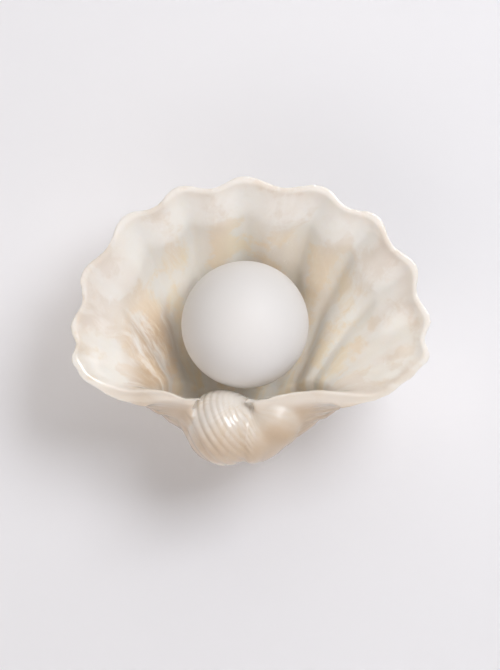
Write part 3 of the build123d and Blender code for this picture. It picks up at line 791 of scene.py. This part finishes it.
@dataclass
class CarvedShell(SubAssembly):
    """The carved shell, refined from its solid: rounded rim and lips, soft creases and fine carving."""

    grain_mm: float = 1.55
    soften_factor: float = 0.5
    # Smoothing steps by vertex group, the whole piece first.
    softenings: tuple[tuple[str, int], ...] = (
        ("", 5), ("rim", 25), ("lips", 45), ("joins", 35), ("creases", 60))
    hinge: Triple = (-10.0, -135.0, -75.0)
    # Bearings of the rib crests round the hinge, in degrees.
    crests: tuple[float, ...] = (
        6.0, 13.0, 23.2, 37.2, 52.8, 67.8, 87.6, 104.5, 120.3, 139.4, 154.9, 165.0, 172.5)
    # Each span: where a push or mark starts and ends, in millimetres, in degrees or as a cosine.
    mouth_open: float = 11.0
    open_rise: Span = (0.0, 36.0)
    open_fade: Span = (72.0, 106.0)
    rib_raise: float = 2.2
    rib_rise: Span = (1.0, 14.0)
    rib_fade: Span = (60.0, 100.0)
    middle_rise: Span = (20.0, 45.0)
    middle_fade: Span = (130.0, 158.0)
    spread_rise: Span = (8.0, 42.0)
    spread_fade: Span = (138.0, 172.0)
    above_lips: Span = (-70.0, -60.0)
    facing_in: Span = (0.1, 0.4)
    edge_fade: Span = (9.0, 15.0)
    edge_facing: Span = (0.2, 0.6)
    least_weight: float = 0.01
    lip_middle: float = -69.0
    lip_rise: Span = (-69.0, -63.0)
    lip_fade: Span = (-58.0, -34.0)
    lip_off: Span = (55.0, 105.0)
    knob_clear: Span = (-1.0, 7.0)
    column_width: float = 4.0
    least_drop: float = 3.0
    under_reach: float = 141.0
    # Stations along x: how far the lips rise there, and where the underside's line lies.
    lip_edge: tuple[Span, ...] = (
        (-150.0, 3.0), (-138.0, 3.0), (-118.0, 2.5), (-85.0, 5.0), (-70.0, 2.0), (-56.0, -7.0),
        (10.0, -11.0), (19.0, -8.0), (28.0, -3.0), (45.0, 2.0), (70.0, 4.0), (95.0, 1.0),
        (118.0, -3.0), (132.0, -2.0), (146.0, 3.0), (160.0, 3.0))
    underside: tuple[Span, ...] = (
        (-140.0, -66.0), (-123.0, -72.5), (-102.0, -79.0), (-78.0, -88.0), (-60.0, -98.0),
        (-48.0, -111.5), (-30.0, -126.2), (-6.0, -132.0), (16.0, -130.2), (32.0, -122.5),
        (46.0, -111.0), (55.0, -103.0), (69.0, -93.5), (86.0, -86.0), (115.0, -77.0), (141.0, -69.0))
    lips: tuple[Zone, ...] = (
        Zone((-160.0, -170.0, -100.0), (-56.0, -112.0, -52.0)),
        Zone((34.0, -170.0, -100.0), (160.0, -112.0, -52.0)))
    joins: tuple[Zone, ...] = (
        Zone((8.0, -170.0, -132.0), (62.0, -70.0, -60.0), 5.0),
        Zone((-80.0, -125.0, -150.0), (-50.0, -40.0, -70.0)))
    creases: tuple[Zone, ...] = (
        Zone((-125.0, -122.0, -62.0), (-48.0, -30.0, -14.0), 9.0),
        Zone((48.0, -122.0, -62.0), (125.0, -30.0, 5.0), 9.0))
    # The swelling beside the knob, and where the knob's ribs end at the smooth cheek.
    swelling_place: Triple = (9.0, -109.0, -102.5)
    swelling_size: Triple = (22.0, 27.0, 28.0)
    cheek_border: Triple = (10.0, 0.42, -75.0)
    border_edge: float = 5.0
    skin_edge: Span = (5.0, 10.0)
    knob_off: Span = (70.0, 84.0)
    knob_top: Span = (-66.0, -60.0)
    knob_rib_raise: float = 0.45
    knob_foot: Span = (-131.0, -118.0)
    join_clear: Span = (0.5, 5.0)
    groove_top: Span = (-74.0, -68.0)
    groove_reach: Span = (60.0, 85.0)
    # Where painted shade falls: on surfaces facing down below the lips.
    under_facing: Span = (-0.5, 0.75)
    under_top: Span = (-86.0, -66.0)
    # Where the front of the lips and knob gets painted shade, and how much less the knob's ribs get.
    front_off: Span = (80.0, 110.0)
    front_top: Span = (-66.0, -52.0)
    front_on_knob: float = 0.55
    cheek: Zone = Zone((10.0, -175.0, -112.0), (66.0, -50.0, -70.0), 7.0)
    knob: Knob = Knob()

    def fill_join(self, shell: Object) -> None:
        """Add the swelling that carries the knob into the cheek, before the whole is meshed as one.

        Args:
            shell: the copied solid, to which the swelling is joined.
        """
        deselect()
        bpy.ops.mesh.primitive_uv_sphere_add(segments=48, ring_count=24, radius=MM,
                                             location=Vector(self.swelling_place) * MM)
        swelling = bpy.context.view_layer.objects.active
        swelling.scale = self.swelling_size
        bpy.ops.object.transform_apply(location=True, rotation=True, scale=True)
        shell.select_set(True)
        bpy.context.view_layer.objects.active = shell
        bpy.ops.object.join()

    def raise_ribs(self, shell: Object) -> None:
        """Raise the knob's ribs a little more than the fine mesh keeps of them.

        Args:
            shell: the piece.
        """
        moves = {}
        for vertex in shell.data.vertices:
            share = self.on_knob(vertex.co) * ramp(vertex.co.z / MM, *self.knob_foot)
            if share > 0.0:
                part = self.knob.rib(vertex.co) % 1.0
                push = self.knob_rib_raise * share * (1.0 - (2.0 * part - 1.0) ** 2)
                moves[vertex.index] = vertex.normal * push * MM
        for index, move in moves.items():
            shell.data.vertices[index].co += move

    def on_knob(self, place: Vector) -> float:
        """Tell how far a place is covered by the knob's ribs, which end at the smooth cheek.

        Args:
            place: the place, in metres.

        Returns:
            1 on the ribs, 0 off them.
        """
        mm = place / MM
        front = ramp(-mm.y, *self.knob_off) * (1.0 - ramp(mm.z, *self.knob_top))
        if front == 0.0:
            return 0.0
        skin = 1.0 - ramp(abs(self.knob.from_skin(place)), *self.skin_edge)
        start, slope, level = self.cheek_border
        border = start + slope * (level - mm.z)
        return skin * front * (1.0 - ramp(mm.x, border - self.border_edge, border + self.border_edge))

    def open_mouth(self, shell: Object) -> None:
        """Widen the bowl towards its rim, raise the ribs inside it and round the rim's inner edge.

        Args:
            shell: the piece, whose vertices on the inside of the bowl are moved along their normals.
        """
        hinge = Vector(self.hinge)
        rim = shell.vertex_groups.new(name="rim")
        moves = []
        for vertex in shell.data.vertices:
            place, normal = vertex.co / MM, vertex.normal.copy()
            out = place - hinge
            depth = out.y
            facing = -normal.dot(out.normalized())
            across = Vector((out.x, 0.0, out.z)).normalized()
            above = ramp(place.z, *self.above_lips)
            inside = ramp(facing, *self.facing_in) * above
            bearing = math.degrees(math.atan2(math.hypot(out.y, out.z), out.x))
            open_share = window(depth, self.open_rise, self.open_fade)
            rib_share = window(depth, self.rib_rise, self.rib_fade)
            middle = window(bearing, self.middle_rise, self.middle_fade)
            dip = 1.0 - self.crest(bearing)
            push = self.mouth_open * open_share + self.rib_raise * rib_share * middle * dip
            spread = window(bearing, self.spread_rise, self.spread_fade)
            moves.append(normal * push * inside * spread * MM)
            edge = (1.0 - ramp(depth, *self.edge_fade)) * above
            edge *= 1.0 - ramp(normal.dot(across), *self.edge_facing)
            if edge > self.least_weight:
                rim.add([vertex.index], edge, "REPLACE")
        for vertex, move in zip(shell.data.vertices, moves):
            vertex.co += move

    def weigh(self, shell: Object, name: str, zones: tuple[Zone, ...]) -> None:
        """Store, as a vertex group, how far each vertex lies in any of the zones.

        Args:
            shell: the piece.
            name: the vertex group's name.
            zones: the zones that it covers.
        """
        group = shell.vertex_groups.new(name=name)
        for vertex in shell.data.vertices:
            share = max(zone.share(vertex.co) for zone in zones)
            share *= ramp(self.knob.from_skin(vertex.co), *self.join_clear)
            if share > self.least_weight:
                group.add([vertex.index], share, "REPLACE")

    def shape_lips(self, shell: Object) -> None:
        """Bend the straight lips into their gentle curve and draw the underside out to its line.

        Args:
            shell: the piece, whose vertices below the bowl are moved up or down.
        """
        shallow = self.lip_middle - self.least_drop
        lowest: dict[int, float] = {}
        for vertex in shell.data.vertices:
            x, z = vertex.co.x / MM, vertex.co.z / MM
            column = round(x / self.column_width)
            if z < self.lip_middle:
                lowest[column] = min(lowest.get(column, shallow), z)
        for vertex in shell.data.vertices:
            x, z, off = vertex.co.x / MM, vertex.co.z / MM, -vertex.co.y / MM
            front = ramp(off, *self.lip_off) * ramp(self.knob.from_skin(vertex.co), *self.knob_clear)
            if z > self.lip_middle:
                share = front * window(z, self.lip_rise, self.lip_fade)
                vertex.co.z += between(self.lip_edge, x) * share * MM
                continue
            place = x / self.column_width
            column = math.floor(place)
            near, far = lowest.get(column, shallow), lowest.get(column + 1, shallow)
            bottom = near + (far - near) * (place - column)
            if abs(x) < self.under_reach:
                wanted = between(self.underside, x)
                stretch = (wanted - self.lip_middle) / (bottom - self.lip_middle)
                moved = self.lip_middle + (z - self.lip_middle) * stretch
                vertex.co.z += (moved - z) * front * MM

    def crest(self, bearing: float) -> float:
        """Tell how near a bearing lies to a rib's crest.

        Args:
            bearing: the bearing round the hinge, in degrees.

        Returns:
            1 on a crest, 0 midway between two.
        """
        for low, high in zip(self.crests, self.crests[1:]):
            if low <= bearing < high:
                return (1.0 + math.cos(math.tau * (bearing - low) / (high - low))) / 2.0
        return 1.0

    def marks(self, place: Vector, normal: Vector) -> dict[str, float]:
        """Work out what the carving and the tints follow at one place.

        Args:
            place: the place, in metres.
            normal: the surface's direction there.

        Returns:
            A value for each name in CARVED_MARKS.
        """
        out = place - Vector(self.hinge) * MM
        off, z = -place.y / MM, place.z / MM
        bearing = math.degrees(math.atan2(math.hypot(out.y, out.z), out.x))
        reach, skin = out.length / MM, self.on_knob(place)
        low, below = 1.0 - ramp(z, *self.groove_top), 1.0 - ramp(z, *self.under_top)
        front = ramp(off, *self.front_off) * (1.0 - ramp(z, *self.front_top))
        return {
            "bearing": bearing,
            "reach": reach,
            "crest": self.crest(bearing),
            "grooved": low * (1.0 - skin) * ramp(reach, *self.groove_reach),
            "knob_rib": self.knob.rib(place),
            "on_knob": skin,
            # Painted shade on surfaces facing down below the lips.
            "under": ramp(-normal.z, *self.under_facing) * below,
            # Painted shade on the front of the lips and knob.
            "front": front * (1.0 - self.front_on_knob * skin),
            "cheek": self.cheek.share(place) * (1.0 - skin),
        }

    def mark_ribs(self, shell: Object) -> None:
        """Store the marks of every vertex as attributes that the stone's finish reads.

        Args:
            shell: the piece.
        """
        for name in CARVED_MARKS:
            shell.data.attributes.new(name, "FLOAT", "POINT")
        stored = {name: shell.data.attributes[name].data for name in CARVED_MARKS}
        for vertex in shell.data.vertices:
            for name, value in self.marks(vertex.co, vertex.normal).items():
                stored[name][vertex.index].value = value

    def build(self) -> None:
        """Copy the solid, shape and soften it, and dress it."""
        shell = copy_of_node("shell", "carved_shell")
        self.fill_join(shell)
        apply_modifier(shell, "REMESH", mode="VOXEL", voxel_size=self.grain_mm * MM, adaptivity=0.0)
        self.open_mouth(shell)
        self.shape_lips(shell)
        for name, zones in (("lips", self.lips), ("joins", self.joins), ("creases", self.creases)):
            self.weigh(shell, name, zones)
        for group, steps in self.softenings:
            apply_modifier(shell, "SMOOTH", factor=self.soften_factor, iterations=steps, vertex_group=group)
        self.raise_ribs(shell)
        self.mark_ribs(shell)
        shade_smooth(shell, angle_deg=180.0)
        shell.data.materials.clear()
        shell.data.materials.append(ALABASTER.build())
        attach(shell, self.body)
        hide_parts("shell")
        LOG.info("carved_shell: %d faces", len(shell.data.polygons))


# ---- studio

@dataclass(frozen=True)
class Lamp:
    """A square soft lamp that faces the object from a bearing and a height, both in degrees."""

    name: str
    azimuth: float
    elevation: float
    distance: float
    width: float
    level: float
    tint: str = "#FFFFFF"

    def build(self, target: Vector) -> None:
        """Hang the lamp, so that a white card facing it at the target renders at its level.

        Args:
            target: where the lamp points, in metres.
        """
        turn, rise = math.radians(self.azimuth), math.radians(self.elevation)
        back = Vector((math.sin(turn) * math.cos(rise), -math.cos(turn) * math.cos(rise), math.sin(rise)))
        data = bpy.data.lights.new(self.name, "AREA")
        data.size = self.width
        data.color = linear(self.tint)[:3]
        data.energy = self.level * math.pi ** 2 * self.distance ** 2
        lamp = bpy.data.objects.new(self.name, data)
        bpy.context.scene.collection.objects.link(lamp)
        lamp.location = target + back * self.distance
        lamp.rotation_euler = (-back).to_track_quat("-Z", "Y").to_euler()


@dataclass
class Studio:
    """Pale wall and floor, soft lamps and the camera at the photograph's place."""

    wall_gap_mm: float = 0.5
    floor_z: float = -1.3
    reach: float = 4.0
    cove: float = 0.25
    cove_steps: int = 12
    wall_colour: str = "#F0F0F2"
    air_colour: str = "#FFF6F0"
    air_level: float = 0.14
    paper_colour: str = "#EFEEF1"
    sensor_mm: float = 36.0
    camera_distance: float = 3.0
    camera_plane_mm: float = -115.0
    lamp_target: Triple = (0.0, -0.08, 0.0)
    lamps: tuple[Lamp, ...] = (
        Lamp("key", 28.0, 23.0, 2.6, 1.2, 0.58, "#F8FAFF"),
        Lamp("fill", -22.0, -22.0, 3.0, 2.8, 0.27, "#FFF5EA"),
        Lamp("top", 10.0, 50.0, 2.6, 1.8, 0.24, "#FFFCFA"),
        Lamp("rear_left", 215.0, 15.0, 2.6, 1.6, 0.22),
        Lamp("rear_right", 145.0, 25.0, 2.6, 1.6, 0.22),
    )

    def backdrop(self) -> None:
        """Make the wall and floor as one sheet with a rounded corner."""
        deselect()
        bpy.ops.mesh.primitive_plane_add(size=2.0 * self.reach,
                                         location=(0.0, self.wall_gap_mm * MM - self.reach, self.floor_z))
        sheet = bpy.context.view_layer.objects.active
        sheet.name = "backdrop"
        bpy.ops.object.transform_apply(location=True, rotation=True, scale=True)
        bpy.ops.object.mode_set(mode="EDIT")
        bpy.ops.mesh.select_mode(type="EDGE")
        pick_edges(sheet, lambda place: place.y > 0.0)
        bpy.ops.mesh.extrude_region_move(TRANSFORM_OT_translate={"value": (0.0, 0.0, 2.0 * self.reach)})
        pick_edges(sheet, lambda place: place.y > 0.0 and place.z < self.floor_z + MM)
        bpy.ops.mesh.bevel(offset=self.cove, segments=self.cove_steps, affect="EDGES")
        bpy.ops.object.mode_set(mode="OBJECT")
        shade_smooth(sheet, angle_deg=40.0)
        sheet.data.materials.append(self.wall_paint())
        sheet.visible_shadow = False

    def wall_paint(self) -> Material:
        """Make the matt wall paint, which shows from the room's side alone.

        Returns:
            The wall's material.
        """
        paint = bpy.data.materials.new("emulsion paint, rolled")
        paint.use_nodes = True
        tree = paint.node_tree
        tree.nodes.clear()
        matt = add_node(tree, "BsdfDiffuse", {"Color": linear(self.wall_colour), "Roughness": 1.0})
        clear = add_node(tree, "BsdfTransparent")
        side = add_node(tree, "NewGeometry").outputs["Backfacing"]
        shown = add_node(tree, "MixShader", links={0: side, 1: matt, 2: clear})
        add_node(tree, "OutputMaterial", links={"Surface": shown})
        return paint

    def world(self) -> None:
        """Set a pale background for the camera and a dim even light for the rest."""
        scene = bpy.context.scene
        scene.world = bpy.data.worlds.new("studio")
        scene.world.use_nodes = True
        tree = scene.world.node_tree
        tree.nodes.clear()
        seen = add_node(tree, "LightPath").outputs["Is Camera Ray"]
        air = add_node(tree, "Background", {"Color": linear(self.air_colour), "Strength": self.air_level})
        paper = add_node(tree, "Background", {"Color": linear(self.paper_colour), "Strength": 1.0})
        pick = add_node(tree, "MixShader", links={0: seen, 1: air, 2: paper})
        add_node(tree, "OutputWorld", links={"Surface": pick})

    def camera(self) -> None:
        """Stand the camera square to the wall, framed as the photograph is."""
        data = bpy.data.cameras.new("camera")
        camera = bpy.data.objects.new("camera", data)
        bpy.context.scene.collection.objects.link(camera)
        centre_x = (PHOTO_WIDTH_PX / 2.0 - GLOBE_CENTRE_PX[0]) * MM_PER_PX * MM
        centre_z = (GLOBE_CENTRE_PX[1] - PHOTO_HEIGHT_PX / 2.0) * MM_PER_PX * MM
        camera.location = (centre_x, self.camera_plane_mm * MM - self.camera_distance, centre_z)
        camera.rotation_euler = (math.pi / 2.0, 0.0, 0.0)
        data.sensor_width = self.sensor_mm
        data.lens = self.sensor_mm * self.camera_distance / (PHOTO_HEIGHT_PX * MM_PER_PX * MM)
        data.clip_start, data.clip_end = 0.1, 30.0
        bpy.context.scene.camera = camera

    def build(self) -> None:
        """Set up the whole studio."""
        self.backdrop()
        self.world()
        self.camera()
        for lamp in self.lamps:
            lamp.build(Vector(self.lamp_target))
        bpy.context.scene.view_settings.view_transform = "Standard"


# ---- the whole light

def sub_assemblies() -> list[SubAssembly]:
    """List the sub-assemblies in the order they are built.

    Returns:
        Every sub-assembly of the light.
    """
    globe = SubAssembly("globe_turning", {"globe": OPAL})
    seal = SubAssembly("globe_lift", {"globe_seal": SILICONE})
    bulb = SubAssembly("bulb", {"bulb_envelope": FROSTED, "bulb_base": BULB_BODY, "bulb_pins": NICKEL_PIN})
    lampholder = SubAssembly("fixture", {
        "holder_cup": SPUN_NICKEL, "lampholder_strap": ZINC_STRAP, "lampholder": STEATITE,
        "lampholder_contacts": BRASS, "lampholder_screws": ZINC_SCREW})
    stack = SubAssembly("fixture", {
        "nipple": ZINC_SCREW, "back_nut": ZINC_SCREW, "back_lock_washer": ZINC_STRAP, "felt_washer": FELT,
        "cup_washer": RUBBER, "front_lock_washer": ZINC_STRAP, "front_nut": ZINC_SCREW})
    canopy = SubAssembly("fixture", {
        "canopy": PAINT, "canopy_foam": FOAM, "canopy_screws": ZINC_SCREW, "wall_plate": ZINC_STRAP})
    wiring = SubAssembly("fixture", {
        "terminal_block": POLYAMIDE, "terminal_clamps": BRASS, "terminal_screws": ZINC_SCREW,
        "block_screw": ZINC_SCREW, "earth_screw": ZINC_SCREW, "earth_tag": BRASS,
        "lead_live": BROWN_LEAD, "lead_neutral": BLUE_LEAD, "lead_earth": EARTH_LEAD})
    return [CarvedShell(), globe, seal, bulb, lampholder, stack, canopy, wiring]


def main() -> None:
    """Build every sub-assembly and the studio, in order."""
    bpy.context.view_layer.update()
    Studio().build()
    for group in sub_assemblies():
        group.build()
    LOG.info("done")


if __name__ == "__main__":
    main()
